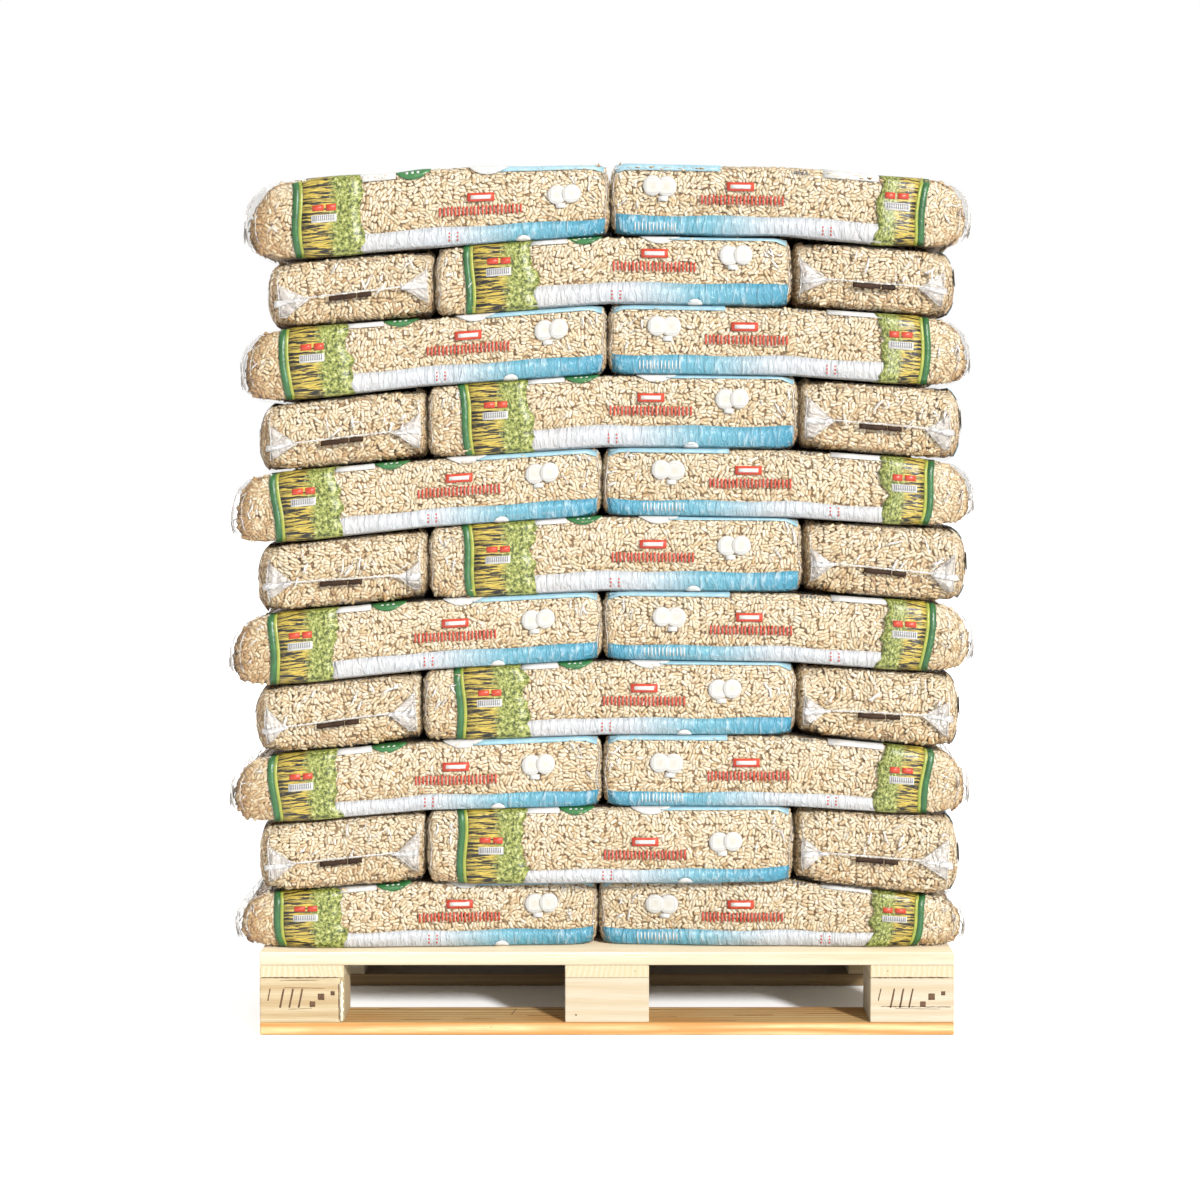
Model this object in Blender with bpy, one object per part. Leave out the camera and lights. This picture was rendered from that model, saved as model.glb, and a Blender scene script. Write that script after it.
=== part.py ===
"""A wooden pallet loaded with eleven layers of sacks.

The origin is on the floor under the middle of the pallet. +X runs along the pallet's long
side, the front faces -Y and +Z is up. Every length is in metres.
"""

import math

import bmesh
import bpy
import numpy as np

# A 1200 x 800 pallet: three boards on the floor, nine blocks, three cross boards, five deck boards
PALLET_LENGTH = 1.200
PALLET_WIDTH = 0.800
BOARD_THICKNESS = 0.022
WIDE_BOARD = 0.145
NARROW_BOARD = 0.100
BLOCK_LENGTH = 0.145
BLOCK_HEIGHT = 0.078
SAWN_EDGE = 0.0012
WANE_WIDTH = 0.012
TOUCH_GAP = 0.0003

FLOOR_TOP = BOARD_THICKNESS
BLOCK_TOP = FLOOR_TOP + BLOCK_HEIGHT
CROSS_TOP = BLOCK_TOP + BOARD_THICKNESS
DECK_TOP = CROSS_TOP + BOARD_THICKNESS

# The load: six sacks in each layer, every second layer turned half round. It stands back from
# the deck's front edge, and its bottom layer a little further
LOAD_DEPTH = 0.872
LOAD_CENTRE_Y = 0.045
BOTTOM_SET_BACK = 0.026
SACK_WIDTH = 0.285
SACK_OVERLAP = 0.003
OVERLAP_STEP = 0.0004
END_ROUND = 0.056
SIDE_ROUND = 0.040
EDGE_ROUND_SHARE = 0.37
FACE_BULGE = 0.007

# A seam's heights are stated past both ends, where end-on sacks meet and at the middle
SEAM_END_X = 0.660
SEAM_BEND_X = 0.314
SEAM_BENDS = (-SEAM_BEND_X, 0.0, SEAM_BEND_X)

# The row of a layer that the front doesn't show, worked out from the rows that it does
HIDDEN_LONG_ROW = (-0.642, 0.002, 0.630)
HIDDEN_END_ON_ROW = (-0.610, -0.309, 0.322, 0.610)

# From the bottom up: where the front row's sacks begin, meet and end, then the height of the
# layer's top at the left end, the left bend, the middle, the right bend and the right end
LAYERS = (
    ((-0.648, -0.015, 0.629), (0.236, 0.260, 0.262, 0.263, 0.224)),
    ((-0.609, -0.312, 0.324, 0.613), (0.358, 0.389, 0.395, 0.396, 0.374)),
    ((-0.653, -0.008, 0.630), (0.475, 0.508, 0.520, 0.519, 0.484)),
    ((-0.612, -0.317, 0.327, 0.613), (0.595, 0.632, 0.649, 0.646, 0.620)),
    ((-0.653, -0.008, 0.634), (0.721, 0.753, 0.769, 0.766, 0.740)),
    ((-0.607, -0.308, 0.337, 0.621), (0.840, 0.878, 0.898, 0.895, 0.873)),
    ((-0.649, -0.008, 0.632), (0.963, 0.995, 1.016, 1.012, 0.986)),
    ((-0.602, -0.308, 0.328, 0.613), (1.083, 1.120, 1.140, 1.138, 1.113)),
    ((-0.632, 0.000, 0.625), (1.211, 1.236, 1.261, 1.255, 1.231)),
    ((-0.586, -0.294, 0.317, 0.599), (1.326, 1.356, 1.376, 1.373, 1.347)),
    ((-0.621, 0.005, 0.624), (1.4605, 1.492, 1.502, 1.494, 1.469)),
)


def remove_everything():
    """Empties the scene of the objects it starts with."""
    for item in list(bpy.data.objects):
        bpy.data.objects.remove(item)


def principled(name, colour, roughness):
    """A plain material with one colour and one roughness."""
    material = bpy.data.materials.new(name)
    material.use_nodes = True
    shader = material.node_tree.nodes["Principled BSDF"]
    shader.inputs["Base Color"].default_value = (*colour, 1.0)
    shader.inputs["Roughness"].default_value = roughness
    shader.inputs["Metallic"].default_value = 0.0
    return material


def add_object(name, mesh, material):
    """Puts a mesh into the scene under its node's name."""
    mesh.name = name
    mesh.materials.append(material)
    piece = bpy.data.objects.new(name, mesh)
    bpy.context.scene.collection.objects.link(piece)
    return piece


def timber(name, centre, size, material, wane=False):
    """A sawn board or block whose top stays one touch gap short of what lies on it.

    Its edges are barely broken. A block with a wane has one upright edge, the inner one at the
    front, that follows the round of the log.
    """
    length, width, height = size
    height -= TOUCH_GAP
    bm = bmesh.new()
    bmesh.ops.create_cube(bm, size=1.0)
    bmesh.ops.scale(bm, vec=(length, width, height), verts=bm.verts)
    if wane:
        inner_front = [
            edge for edge in bm.edges
            if all(v.co.x > 0 and v.co.y < 0 for v in edge.verts)
        ]
        bmesh.ops.bevel(bm, geom=inner_front, offset=WANE_WIDTH, segments=3, profile=0.5,
                        affect="EDGES")
    mesh = bpy.data.meshes.new(name)
    bm.to_mesh(mesh)
    bm.free()
    piece = add_object(name, mesh, material)
    piece.location = (centre[0], centre[1], centre[2] - TOUCH_GAP / 2)
    broken_edge = piece.modifiers.new("sawn_edge", "BEVEL")
    broken_edge.width = SAWN_EDGE
    broken_edge.segments = 1
    broken_edge.limit_method = "ANGLE"
    return piece


def block_columns():
    """The x of the left, middle and right blocks, and of the cross boards on them."""
    outer = (PALLET_LENGTH - BLOCK_LENGTH) / 2
    return {"left": -outer, "middle": 0.0, "right": outer}


def block_rows():
    """The y and width of the front, middle and rear blocks, and of the boards under them."""
    outer = (PALLET_WIDTH - NARROW_BOARD) / 2
    return {
        "front": (-outer, NARROW_BOARD),
        "middle": (0.0, WIDE_BOARD),
        "rear": (outer, NARROW_BOARD),
    }


def build_bottom_boards(material):
    """Three boards on the floor, under the three rows of blocks."""
    for row, (y, width) in block_rows().items():
        size = (PALLET_LENGTH, width, BOARD_THICKNESS)
        timber(f"bottom_board_{row}", (0.0, y, FLOOR_TOP / 2), size, material)


def build_blocks(material):
    """Nine blocks in three rows. The front left one has a wane on its inner edge."""
    middle_height = (FLOOR_TOP + BLOCK_TOP) / 2
    for row, (y, width) in block_rows().items():
        for column, x in block_columns().items():
            name = f"block_{row}_{column}"
            size = (BLOCK_LENGTH, width, BLOCK_HEIGHT)
            timber(name, (x, y, middle_height), size, material, wane=name == "block_front_left")


def build_cross_boards(material):
    """Three boards across the pallet, on the blocks and under the deck."""
    for column, x in block_columns().items():
        size = (BLOCK_LENGTH, PALLET_WIDTH, BOARD_THICKNESS)
        timber(f"cross_board_{column}", (x, 0.0, (BLOCK_TOP + CROSS_TOP) / 2), size, material)


def build_deck(material):
    """Five deck boards along the pallet, wide and narrow in turn, with equal gaps."""
    widths = (WIDE_BOARD, NARROW_BOARD, WIDE_BOARD, NARROW_BOARD, WIDE_BOARD)
    gap = (PALLET_WIDTH - sum(widths)) / (len(widths) - 1)
    front = -PALLET_WIDTH / 2
    for number, width in enumerate(widths, start=1):
        centre = (0.0, front + width / 2, (CROSS_TOP + DECK_TOP) / 2)
        timber(f"deck_board_{number}", centre, (PALLET_LENGTH, width, BOARD_THICKNESS), material)
        front += width + gap


def seam_height(level, x):
    """Height at x of the top of a layer: straight lines between its five measured heights."""
    if level == 0:
        return np.full_like(x, DECK_TOP)
    return np.interp(x, (-SEAM_END_X, -SEAM_BEND_X, 0.0, SEAM_BEND_X, SEAM_END_X), LAYERS[level - 1][1])


def sack_plan(level):
    """The six footprints of a layer as x and y ranges, with each sack's long direction.

    One side of the layer has two sacks lying along the pallet. The rest of its depth has an
    end-on sack at the left and the right, and two more lying sacks between them. The last
    footprint is the sack that others surround.
    """
    front_row = LAYERS[level - 1][0]
    turned = len(front_row) == 4
    long_row = HIDDEN_LONG_ROW if turned else front_row
    end_on_row = front_row if turned else HIDDEN_END_ON_ROW
    front = LOAD_CENTRE_Y - LOAD_DEPTH / 2
    rear = LOAD_CENTRE_Y + LOAD_DEPTH / 2
    if level == 1:
        front += BOTTOM_SET_BACK
    if turned:
        long_rows = (rear - SACK_WIDTH, rear)
        end_on_rows = (front, rear - SACK_WIDTH)
    else:
        long_rows = (front, front + SACK_WIDTH)
        end_on_rows = (front + SACK_WIDTH, rear)
    left, first, second, right = end_on_row
    middle = sum(end_on_rows) / 2
    lying_rows = [(end_on_rows[0], middle), (middle, end_on_rows[1])]
    outer_row, inner_row = lying_rows if turned else lying_rows[::-1]
    return [
        (long_row[:2], long_rows, "x"),
        (long_row[1:], long_rows, "x"),
        ((left, first), end_on_rows, "y"),
        ((second, right), end_on_rows, "y"),
        ((first, second), outer_row, "x"),
        ((first, second), inner_row, "x"),
    ]


def block_surface(shape):
    """The quads on the outside of a block of cells, each as four outward-turning cell corners."""
    quads = []
    for axis in range(3):
        second, third = (axis + 1) % 3, (axis + 2) % 3
        for side in (0, shape[axis]):
            for i in range(shape[second]):
                for j in range(shape[third]):
                    quad = []
                    for di, dj in ((0, 0), (1, 0), (1, 1), (0, 1)):
                        corner = [0, 0, 0]
                        corner[axis] = side
                        corner[second] = i + di
                        corner[third] = j + dj
                        quad.append(tuple(corner))
                    quads.append(quad if side else quad[::-1])
    return quads


def block_mesh(level, lines, shaped):
    """A block cut along the given lines, shaped, and pressed between the seams it lies between.

    A height in the block is a share of the way from the seam below to the seam above.
    """
    quads = block_surface([len(line) - 1 for line in lines])
    corners = sorted({corner for quad in quads for corner in quad})
    number = {corner: index for index, corner in enumerate(corners)}
    block = np.array([[lines[axis][corner[axis]] for axis in range(3)] for corner in corners])
    placed = shaped(block)
    bottom = seam_height(level - 1, placed[:, 0]) + TOUCH_GAP
    top = seam_height(level, placed[:, 0])
    placed[:, 2] = bottom + placed[:, 2] * (top - bottom)
    mesh = bpy.data.meshes.new("sack")
    mesh.from_pydata(placed.tolist(), [], [[number[c] for c in quad] for quad in quads])
    return mesh


def between(low, values, high):
    """Those of the values that lie between low and high."""
    return [value for value in values if low < value < high]


def core_mesh(level, overlap, x_range, y_range):
    """The sack that others surround, as a plain block that meets them all round."""
    left, right = x_range[0] - overlap, x_range[1] + overlap
    lines = (
        [left, *between(left, SEAM_BENDS, right), right],
        [y_range[0] - overlap, y_range[1] + overlap],
        [0.0, 1.0],
    )
    return block_mesh(level, lines, lambda block: block)


def sack_mesh(level, overlap, x_range, y_range, long_axis):
    """One filled sack as a block with rounded edges, a little wider in the middle.

    A point of the block is an inner point plus a step towards the surface. On a face the step
    is one radius, and on an edge or a corner its length is kept, which rounds them. The sack
    reaches into its neighbours by the overlap, so that the layer becomes one solid.
    """
    along, across = (0, 1) if long_axis == "x" else (1, 0)
    low = np.array([x_range[0] - overlap, y_range[0] - overlap, 0.0])
    high = np.array([x_range[1] + overlap, y_range[1] + overlap, 1.0])
    middle = (low + high) / 2
    radii = np.array([0.0, 0.0, EDGE_ROUND_SHARE])
    radii[along] = END_ROUND
    radii[across] = SIDE_ROUND
    bends = {along: SEAM_BENDS if long_axis == "x" else (middle[1],)}

    def grid_lines(axis):
        first, last = low[axis] + radii[axis], high[axis] - radii[axis]
        return [low[axis], first, *between(first, bends.get(axis, ()), last), last, high[axis]]

    def rounded(block):
        inner = np.clip(block, low + radii, high - radii)
        step = (block - inner) / radii
        step /= np.linalg.norm(step, axis=1, keepdims=True)
        placed = inner + radii * step
        share = 2 * (placed - middle) / (high - low)
        placed[:, across] += FACE_BULGE * share[:, across] * (1 - share[:, along] ** 2)
        return placed

    return block_mesh(level, [grid_lines(axis) for axis in range(3)], rounded)


def union(meshes):
    """One closed mesh from several that overlap.

    The exact solver leaves edges with three faces where the rounded corners of three sacks
    meet, so this uses the manifold solver, which doesn't.
    """
    base = bpy.data.objects.new("base", meshes[0])
    bpy.context.scene.collection.objects.link(base)
    others = []
    for mesh in meshes[1:]:
        other = bpy.data.objects.new("other", mesh)
        bpy.context.scene.collection.objects.link(other)
        others.append(other)
        join = base.modifiers.new("join", "BOOLEAN")
        join.operation = "UNION"
        join.solver = "MANIFOLD"
        join.object = other
    bpy.context.view_layer.update()
    evaluated = base.evaluated_get(bpy.context.evaluated_depsgraph_get())
    joined = bpy.data.meshes.new_from_object(evaluated)
    for item in [base, *others]:
        bpy.data.objects.remove(item)
    return joined


def build_sack_layer(level, material):
    """A layer of six sacks as one solid, with the gaps between the sacks cut into its faces.

    Each sack overlaps its neighbours a little more than the one before, so that no two of their
    faces lie in one plane. The surrounded sack shows only in the top layer.
    """
    *outer, surrounded = sack_plan(level)
    overlap = SACK_OVERLAP
    sacks = []
    for footprint in outer:
        sacks.append(sack_mesh(level, overlap, *footprint))
        overlap += OVERLAP_STEP
    if level == len(LAYERS):
        sacks.append(sack_mesh(level, overlap, *surrounded))
    else:
        sacks.append(core_mesh(level, overlap, *surrounded[:2]))
    layer = union(sacks)
    layer.shade_smooth()
    layer.set_sharp_from_angle(angle=math.radians(60))
    add_object(f"sack_layer_{level:02d}", layer, material)


def main():
    remove_everything()
    pale_wood = principled("pale_wood", (0.86, 0.74, 0.52), 0.7)
    orange_wood = principled("orange_wood", (0.66, 0.36, 0.11), 0.7)
    filled_sack = principled("filled_sack", (0.72, 0.54, 0.34), 0.35)
    build_bottom_boards(orange_wood)
    build_blocks(pale_wood)
    build_cross_boards(pale_wood)
    build_deck(pale_wood)
    for level in range(1, len(LAYERS) + 1):
        build_sack_layer(level, filled_sack)


main()
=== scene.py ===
"""Looks of a wooden pallet loaded with eleven layers of clear film sacks full of wood pellets.

Metres, in the CAD's frame: the floor is z = 0, the front faces -Y and +X runs along the pallet.
"""

import math

import bpy
import numpy as np
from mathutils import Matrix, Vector


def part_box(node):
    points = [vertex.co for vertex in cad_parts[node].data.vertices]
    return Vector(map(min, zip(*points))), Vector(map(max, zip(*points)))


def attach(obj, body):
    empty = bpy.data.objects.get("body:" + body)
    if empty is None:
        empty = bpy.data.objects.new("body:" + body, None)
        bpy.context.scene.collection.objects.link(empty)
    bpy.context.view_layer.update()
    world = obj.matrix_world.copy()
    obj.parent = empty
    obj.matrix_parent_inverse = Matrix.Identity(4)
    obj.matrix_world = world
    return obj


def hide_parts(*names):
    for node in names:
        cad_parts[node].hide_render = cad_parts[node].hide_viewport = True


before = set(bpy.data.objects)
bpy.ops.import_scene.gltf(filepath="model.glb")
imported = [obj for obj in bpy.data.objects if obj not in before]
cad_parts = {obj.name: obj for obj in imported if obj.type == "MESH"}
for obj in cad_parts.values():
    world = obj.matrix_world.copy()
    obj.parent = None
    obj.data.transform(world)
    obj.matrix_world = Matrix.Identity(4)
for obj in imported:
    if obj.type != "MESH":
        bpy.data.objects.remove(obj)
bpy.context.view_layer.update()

# The load as in the CAD: where the front row's sacks begin, meet and end, then the height of the
# layer's top at the left end, the left bend, the middle, the right bend and the right end
DECK_TOP = 0.144
LOAD_DEPTH = 0.872
LOAD_CENTRE_Y = 0.045
BOTTOM_SET_BACK = 0.026
BOTTOM_BOW = (-0.012, 0.018, -0.002)
SACK_WIDTH = 0.285
FACE_BULGE = 0.007
SEAM_END_X = 0.660
SEAM_BEND_X = 0.314
TOUCH_GAP = 0.0003
HIDDEN_LONG_ROW = (-0.642, 0.002, 0.630)
HIDDEN_END_ON_ROW = (-0.610, -0.309, 0.322, 0.610)
LAYERS = (
    ((-0.648, -0.015, 0.629), (0.236, 0.260, 0.262, 0.263, 0.224)),
    ((-0.609, -0.312, 0.324, 0.613), (0.358, 0.389, 0.395, 0.396, 0.374)),
    ((-0.653, -0.008, 0.630), (0.475, 0.508, 0.520, 0.519, 0.484)),
    ((-0.612, -0.317, 0.327, 0.613), (0.595, 0.632, 0.649, 0.646, 0.620)),
    ((-0.653, -0.008, 0.634), (0.721, 0.753, 0.769, 0.766, 0.740)),
    ((-0.607, -0.308, 0.337, 0.621), (0.840, 0.878, 0.898, 0.895, 0.873)),
    ((-0.649, -0.008, 0.632), (0.963, 0.995, 1.016, 1.012, 0.986)),
    ((-0.602, -0.308, 0.328, 0.613), (1.083, 1.120, 1.140, 1.138, 1.113)),
    ((-0.632, 0.000, 0.625), (1.211, 1.236, 1.261, 1.255, 1.231)),
    ((-0.586, -0.294, 0.317, 0.599), (1.326, 1.356, 1.376, 1.373, 1.347)),
    ((-0.621, 0.005, 0.624), (1.4605, 1.492, 1.502, 1.494, 1.469)),
)
TOP = len(LAYERS)

# How round a sack is in plan: at an end that shows, at one pressed against its neighbour, along
# its sides and along a side of the load
OPEN_END_ROUND = 0.056
FLAT_END_ROUND = 0.048
PRESSED_END_ROUND = 0.018
SIDE_ROUND = 0.018
OUTER_SIDE_ROUND = 0.028

# How round its lower and upper edges are, as a share of its height. Near its ends or sides they
# are rounder: within which distances along X that fades, then the share
EDGE_ROUND_SHARE = 0.075
DOME_ROUND = (0.030, 0.150, 0.45)
PRESSED_ROUND = (0.008, 0.040, 0.32)
OUTER_ROUND = (0.015, 0.060, 0.45)
INNER_ROUND = (0.015, 0.060, 0.36)

# How far a sack is pressed into its neighbour
PRESS = 0.0028

# Beyond which distance from the load's middle, along X and Y, a side is on the load's outside
OUTSIDE_FROM = (0.54, 0.38)

# The beds' depth under the film, and the pellets: their size, the cells that hold a pair of them
# on the load's front and elsewhere, and how much larger they are there
BED_DEPTH = 0.0050
PELLET_RADIUS = 0.00265
PELLET_TOP = 0.0002
PELLET_DEPTH_SPREAD = 0.0026
FRONT_CELL = 0.0100
OTHER_CELL = 0.0138
OTHER_SIZE = 1.36

# How far in from the load's outside there are pellets, and how far round a sack's upper edge,
# the upper edge of an open end and the lower edge
NOTCH_REACH = 0.045
BOTTOM_REACH = 0.090
RIM_REACH = 0.020
DOME_REACH = 0.042
UNDER_REACH = 0.009

# How much the pellets' tone drops on an end: painted shade on a long end at the load's left and at its
# right, darker at the left, away from the key light, then a small drop on an end of a sack that lies
# end-on. Then how strongly the painted shade darkens the sides near such a long end
DOME_PAINTED_SHADES = (-0.50, -0.11)
END_TONE = -0.06
DOME_SIDE_SHADES = (1.55, 0.30)

# The screens in the middle of the load that keep light from coming through its seams
SCREEN_REACH = 0.585
SCREEN_HALF_HEIGHT = 0.016
SCREEN_HALF_DEPTH = 0.001

# The shares of a sack's height at which the film and the beds have their rows of points
FILM_HEIGHTS = (0, 0.04, 0.11, 0.21, 0.34, 0.50, 0.66, 0.79, 0.89, 0.96, 1)
BED_HEIGHTS = (0, 0.09, 0.22, 0.5, 0.78, 0.91, 1)

# The print on a long side, measured from the film end that the picture is near, and upwards
CLEAR_END = 0.070
STRIPE_END = 0.081
EDGE_END = 0.087
BAND_TOP = 0.030
PRINT_FOOT = -0.010
PRINT_RIM = 0.024
PRINT_THICKNESS = 0.0006

# The light of a surface that shows as pure white in the key light
IN_BRIGHT_LIGHT = 0.50

# The print of a front sack, by layer and sack: how much further it lies from the picture's end,
# how much higher its marks are, and how far up its lower band reaches
PRINTS = {
    (1, 0): (0.001, 0.000, 0.030), (1, 1): (0.009, 0.000, 0.030), (2, 4): (-0.013, -0.002, 0.026),
    (3, 0): (0.002, 0.000, 0.028), (3, 1): (0.003, 0.001, 0.026), (4, 4): (-0.010, 0.007, 0.031),
    (5, 0): (0.002, 0.004, 0.032), (5, 1): (0.003, 0.002, 0.028), (6, 4): (-0.004, 0.006, 0.035),
    (7, 0): (0.005, 0.006, 0.031), (7, 1): (0.003, 0.005, 0.028), (8, 4): (-0.008, 0.010, 0.038),
    (9, 0): (0.004, 0.006, 0.033), (9, 1): (0.003, 0.007, 0.033), (10, 4): (-0.016, 0.011, 0.037),
    (11, 0): (0.015, 0.006, 0.032), (11, 1): (0.010, 0.009, 0.035),
}

# The print by the sack's number in its layer: where the picture ends, how much further along the
# row of bars, the label and the seals lie, the same for the marks on the picture, and where the
# red marks on the band are
BY_NUMBER = {
    0: (0.186, 0.0066, 0.0035, 0.0148, -0.0080, 0.336),
    1: (0.157, 0.0000, 0.0000, 0.0065, -0.0120, 0.231),
    4: (0.190, 0.0096, 0.0066, 0.0150, -0.0040, 0.320),
}

# The camera: its frame's width in mm, the photo's focal length and width in pixels, where it
# stands, how far it looks down in degrees and how far its frame is moved, in frame widths
FRAME_WIDTH = 36.0
FOCAL_PIXELS = 2135
PHOTO_PIXELS = 1200
CAMERA_PLACE = (-0.0121, -4.0529, 1.0490)
LOOK_DOWN = 2.3
FRAME_SHIFT = -0.0719


def hashed(i, j, k, seed):
    """A fixed number from 0 to 1 for each lattice corner: the fraction of a large sine."""
    value = np.sin(i * 127.1 + j * 311.7 + k * 74.7 + seed * 19.19) * 43758.5453
    return value - np.floor(value)


def noise(points, size, seed=0):
    """Smooth noise from -1 to 1 with lumps of a given size.

    Each lattice cell blends the hashed numbers of its eight corners with the weight
    f * f * (3 - 2 f) along each axis, f being the share of the way across the cell.
    """
    cell = points / size
    low = np.floor(cell)
    share = cell - low
    share = share * share * (3 - 2 * share)
    total = np.zeros(len(points))
    for corner in range(8):
        step = np.array([corner & 1, corner >> 1 & 1, corner >> 2 & 1])
        weight = np.prod(np.where(step, share, 1 - share), axis=1)
        total += weight * hashed(*(low + step).T, seed)
    return 2 * total - 1


def smooth(low, high, value):
    """0 up to low, 1 from high on, and t * t * (3 - 2 t) between them."""
    t = np.clip((value - low) / (high - low), 0, 1)
    return t * t * (3 - 2 * t)


def seam_height(level, x):
    """Height at x of the top of a layer: straight lines between its five measured heights."""
    if level == 0:
        return np.full_like(x, DECK_TOP)
    places = (-SEAM_END_X, -SEAM_BEND_X, 0.0, SEAM_BEND_X, SEAM_END_X)
    return np.interp(x, places, LAYERS[level - 1][1])


class Sack:
    """One sack: its box in plan, its long direction and the end that its picture is near."""

    def __init__(self, level, number, x_range, y_range, along, row, picture_end):
        self.level, self.number, self.row, self.picture_end = level, number, row, picture_end
        self.along, self.across = along, 1 - along
        self.seed = level * 10 + number
        self.shift, self.rise, self.band_top = PRINTS.get((level, number), (0.0, 0.0, BAND_TOP))
        self.places = BY_NUMBER.get(number, BY_NUMBER[4])
        self.low = np.array([x_range[0], y_range[0], 0.0])
        self.high = np.array([x_range[1], y_range[1], 1.0])
        self.bulged = [along == 1 and self.faces_out(0, side) for side in (0, 1)]
        for side, edge, outwards in ((0, self.low, -1), (1, self.high, 1)):
            for axis in (0, 1):
                if not self.faces_out(axis, side):
                    edge[axis] += outwards * PRESS
        self.domes = [along == 0 and self.faces_out(0, end) for end in (0, 1)]
        self.radii = np.full((2, 3), SIDE_ROUND)
        self.radii[:, 2] = EDGE_ROUND_SHARE
        for end in (0, 1):
            outer = OPEN_END_ROUND if self.domes[end] else FLAT_END_ROUND
            self.radii[end, along] = outer if self.faces_out(along, end) else PRESSED_END_ROUND
            if self.bulged[end]:
                self.radii[end, 0] = OUTER_SIDE_ROUND
        middle = np.array([(x_range[0] + x_range[1]) / 2])
        self.height = (seam_height(level, middle) - seam_height(level - 1, middle)).item()
        self.length = self.high[along] - self.low[along]
        self.width = self.high[self.across] - self.low[self.across]

    def faces_out(self, axis, side):
        """True if that side of the sack is on the outside of the load."""
        edge = (self.low, self.high)[side][axis]
        return abs(edge - (0.0, LOAD_CENTRE_Y)[axis]) > OUTSIDE_FROM[axis]

    def edge(self, end):
        """Where the sack ends along its length, and the sign of the way inwards from there."""
        return (self.low, self.high)[end][self.along], 1 - 2 * end


def load_plan():
    """Every sack that shows. A layer has two long sacks along one side and a row with an end-on
    sack at each end of two lying ones; every second layer is turned half round."""
    sacks = []
    for level in range(1, TOP + 1):
        front_row = LAYERS[level - 1][0]
        turned = len(front_row) == 4
        long_row = HIDDEN_LONG_ROW if turned else front_row
        end_row = front_row if turned else HIDDEN_END_ON_ROW
        front = LOAD_CENTRE_Y - LOAD_DEPTH / 2 + (BOTTOM_SET_BACK if level == 1 else 0.0)
        rear = LOAD_CENTRE_Y + LOAD_DEPTH / 2
        if turned:
            long_y, end_y = (rear - SACK_WIDTH, rear), (front, rear - SACK_WIDTH)
        else:
            long_y, end_y = (front, front + SACK_WIDTH), (front + SACK_WIDTH, rear)
        left, first, second, right = end_row
        middle = sum(end_y) / 2
        lying = [(end_y[0], middle), (middle, end_y[1])]
        outer_y, inner_y = lying if turned else lying[::-1]
        long_span, end_span = (long_row[0], long_row[-1]), (left, right)
        sacks.append(Sack(level, 0, long_row[:2], long_y, 0, long_span, 0))
        sacks.append(Sack(level, 1, long_row[1:], long_y, 0, long_span, 1))
        sacks.append(Sack(level, 2, (left, first), end_y, 1, end_span, 0))
        sacks.append(Sack(level, 3, (second, right), end_y, 1, end_span, 1))
        sacks.append(Sack(level, 4, (first, second), outer_y, 0, end_span, 0 if turned else 1))
        if level == TOP:
            sacks.append(Sack(level, 5, (first, second), inner_y, 0, end_span, 1))
    return sacks


def shaped(sack, block, lift=0.0, filling=False):
    """Places block points on a sack's surface, raised by lift. Returns points and normals.

    A block point is an inner point plus a step of one radius towards the surface, and the step
    keeps its length round edges and corners. Heights are shares of the way between the seams.
    Film then swells sideways by noise; on the filling the same, less the slack at the ends. The
    bottom layer's front is bowed by straight lines between its middle and its ends.
    """
    across, along = sack.across, sack.along
    middle = (sack.low + sack.high) / 2
    radii = np.where(block > middle, sack.radii[1], sack.radii[0])
    for end, edge in enumerate((sack.low, sack.high)):
        if along == 0:
            begin, stop, share = DOME_ROUND if sack.domes[end] else PRESSED_ROUND
        else:
            begin, stop, share = OUTER_ROUND if sack.bulged[end] else INNER_ROUND
        near = 1 - smooth(begin, stop, np.abs(block[:, 0] - edge[0]))
        radii[:, 2] += near * (share - EDGE_ROUND_SHARE)
    inner = np.clip(block, sack.low + radii, sack.high - radii)
    step = (block - inner) / radii
    step /= np.maximum(np.linalg.norm(step, axis=1, keepdims=True), 1e-9)
    placed = inner + radii * step
    share = 2 * (placed - middle) / (sack.high - sack.low)
    placed[:, across] += FACE_BULGE * share[:, across] * (1 - share[:, along] ** 2)
    metres = radii * np.array([1, 1, sack.height])
    normal = step / metres
    normal /= np.maximum(np.linalg.norm(normal, axis=1, keepdims=True), 1e-9)
    bottom = seam_height(sack.level - 1, placed[:, 0]) + TOUCH_GAP
    top = seam_height(sack.level, placed[:, 0])
    raised = placed[:, 2].copy()
    placed[:, 2] = bottom + raised * (top - bottom)
    if sack.level == 1:
        bow = np.interp(placed[:, 0], (-0.64, 0.0, 0.62), BOTTOM_BOW)
        placed[:, 1] += bow * (LOAD_CENTRE_Y + LOAD_DEPTH / 2 - placed[:, 1]) / LOAD_DEPTH
    own = placed + sack.seed * 3.17
    swell = 0.0030 * noise(own, 0.085, 1) + 0.0014 * noise(own, 0.036, 2) - 0.0010
    outward = normal.copy()
    if sack.level < TOP:
        outward[:, 2] = 0
    placed += outward * swell[:, None]
    if filling:
        end = smooth(0.62, 1.0, np.abs(share[:, along]))
        open_ends = [sack.faces_out(along, 0), sack.faces_out(along, 1)]
        is_open = np.where(share[:, along] > 0, open_ends[1], open_ends[0])
        slack = end * (0.002 + is_open * (0.002 + 0.003 * raised + 0.003 * noise(own, 0.05, 3)))
        dome = np.where(share[:, along] > 0, sack.domes[1], sack.domes[0])
        loose = 0.014 if sack.level == TOP and sack.number == 0 else 0.004
        slack = slack + end * dome * (0.002 + loose * smooth(0.35, 1.0, raised))
        placed[:, along] -= np.sign(share[:, along]) * slack
    return placed + normal * np.asarray(lift).reshape(-1, 1), normal


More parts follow.
